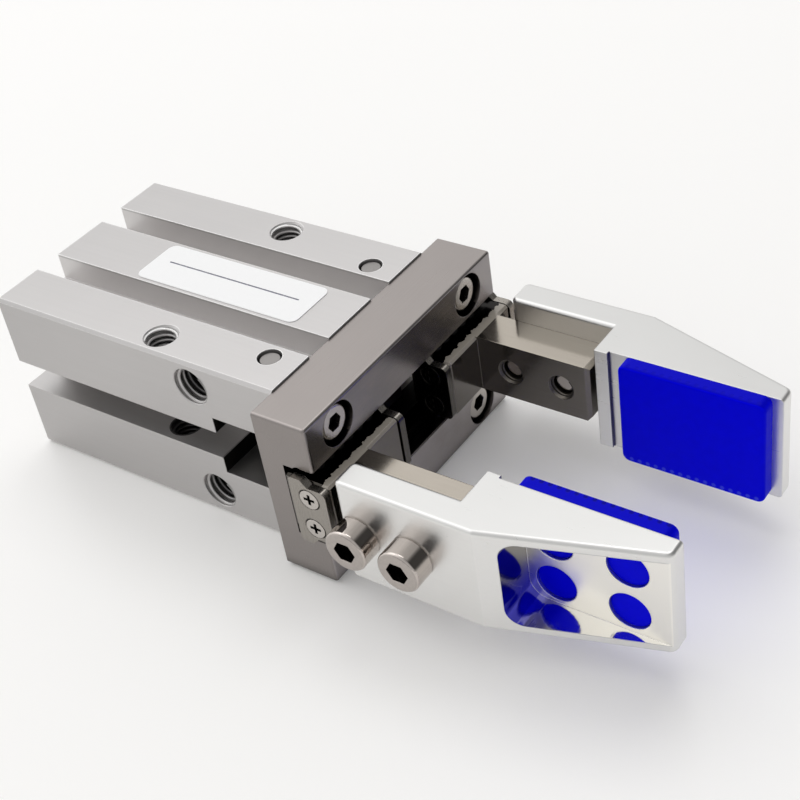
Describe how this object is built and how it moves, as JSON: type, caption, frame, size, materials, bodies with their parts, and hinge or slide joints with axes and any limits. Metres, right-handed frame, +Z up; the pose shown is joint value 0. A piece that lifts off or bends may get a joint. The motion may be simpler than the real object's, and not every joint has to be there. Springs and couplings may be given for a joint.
{
  "type": "pneumatic parallel gripper",
  "caption": "Compact air-powered parallel gripper: grooved block body, steel guide plate, and sliding fingers with tapered jaws that carry soft blue pads.",
  "frame": {"origin": "on the cylinder axis at the rear mounting face", "axes": "+X from the rear face to the jaw tips, +Y to the gripper's left, +Z up, out of the ribbed face"},
  "size_m": [0.0936, 0.0466, 0.0236],
  "materials": {
    "anodised_body": "satin clear-anodised extrusion",
    "turned_aluminium": "fine turned",
    "seal_rubber": "matt black nitrile",
    "spring_steel": "oiled black spring steel",
    "bumper_urethane": "amber urethane",
    "bronze_bush": "sintered bronze",
    "ground_rod_steel": "ground and polished",
    "plated_screws": "nickel-plated",
    "magnet": "bonded magnet",
    "hardened_steel": "hardened, dark grey",
    "guide_steel": "ground, dark grey",
    "pin_steel": "ground",
    "finger_steel": "ground, warm grey",
    "end_plate_steel": "rolled sheet",
    "machined_jaw": "bright machined and polished",
    "blue_urethane": "glossy moulded blue urethane",
    "ball_steel": "polished"
  },
  "bodies": {
    "housing": {"body": "anodised_body", "rear_cap": "turned_aluminium", "rear_cap_seal": "seal_rubber", "cap_retaining_ring": "spring_steel", "rear_bumper": "bumper_urethane", "front_bumper": "bumper_urethane", "rod_bush": "bronze_bush", "rod_seal": "seal_rubber", "guide_plate": "guide_steel", "guide_screws": "plated_screws", "lever_pin_left": "pin_steel", "lever_pin_right": "pin_steel"},
    "piston_group": {"piston": "turned_aluminium", "piston_rod": "ground_rod_steel", "piston_nut": "plated_screws", "piston_seal": "seal_rubber", "magnet_ring": "magnet", "rod_head": "hardened_steel"},
    "left_finger": {"finger_left": "finger_steel", "end_plate_left": "end_plate_steel", "inner_end_plate_left": "end_plate_steel", "end_plate_screws_left": "plated_screws", "jaw_left": "machined_jaw", "jaw_screws_left": "plated_screws", "jaw_pad_left": "blue_urethane"},
    "right_finger": {"finger_right": "finger_steel", "end_plate_right": "end_plate_steel", "inner_end_plate_right": "end_plate_steel", "end_plate_screws_right": "plated_screws", "jaw_right": "machined_jaw", "jaw_screws_right": "plated_screws", "jaw_pad_right": "blue_urethane"},
    "left_lever": {"lever_left": "hardened_steel", "lever_bush_left": "bronze_bush"},
    "right_lever": {"lever_right": "hardened_steel", "lever_bush_right": "bronze_bush"},
    "left_balls": {"guide_balls_left": "ball_steel"},
    "right_balls": {"guide_balls_right": "ball_steel"}
  },
  "joints": [
    {"name": "left_finger_slide", "type": "slide", "parent": "housing", "child": "left_finger", "axis": [0, -1, 0], "range_m": [0, 0.004]},
    {"name": "right_finger_slide", "type": "slide", "parent": "housing", "child": "right_finger", "axis": [0, 1, 0], "range_m": [0, 0.004]},
    {"name": "piston_slide", "type": "slide", "parent": "housing", "child": "piston_group", "axis": [-1, 0, 0], "range_m": [0, 0.00286]},
    {"name": "left_lever_pivot", "type": "hinge", "parent": "housing", "child": "left_lever", "pos_m": [0.0406, 0.0101, 0], "axis": [0, 0, -1], "range_deg": [0, 27.56]},
    {"name": "right_lever_pivot", "type": "hinge", "parent": "housing", "child": "right_lever", "pos_m": [0.0406, -0.0101, 0], "axis": [0, 0, 1], "range_deg": [0, 27.56]},
    {"name": "left_ball_roll", "type": "slide", "parent": "housing", "child": "left_balls", "axis": [0, -1, 0], "range_m": [0, 0.002]},
    {"name": "right_ball_roll", "type": "slide", "parent": "housing", "child": "right_balls", "axis": [0, 1, 0], "range_m": [0, 0.002]}
  ],
  "couplings": [
    {"joint": "right_finger_slide", "follows": "left_finger_slide", "ratio": 1},
    {"joint": "piston_slide", "follows": "left_finger_slide", "ratio": 0.71429},
    {"joint": "left_lever_pivot", "follows": "left_finger_slide", "rad_per_m": 120.2},
    {"joint": "right_lever_pivot", "follows": "left_finger_slide", "rad_per_m": 120.2},
    {"joint": "left_ball_roll", "follows": "left_finger_slide", "ratio": 0.5},
    {"joint": "right_ball_roll", "follows": "left_finger_slide", "ratio": 0.5}
  ]
}
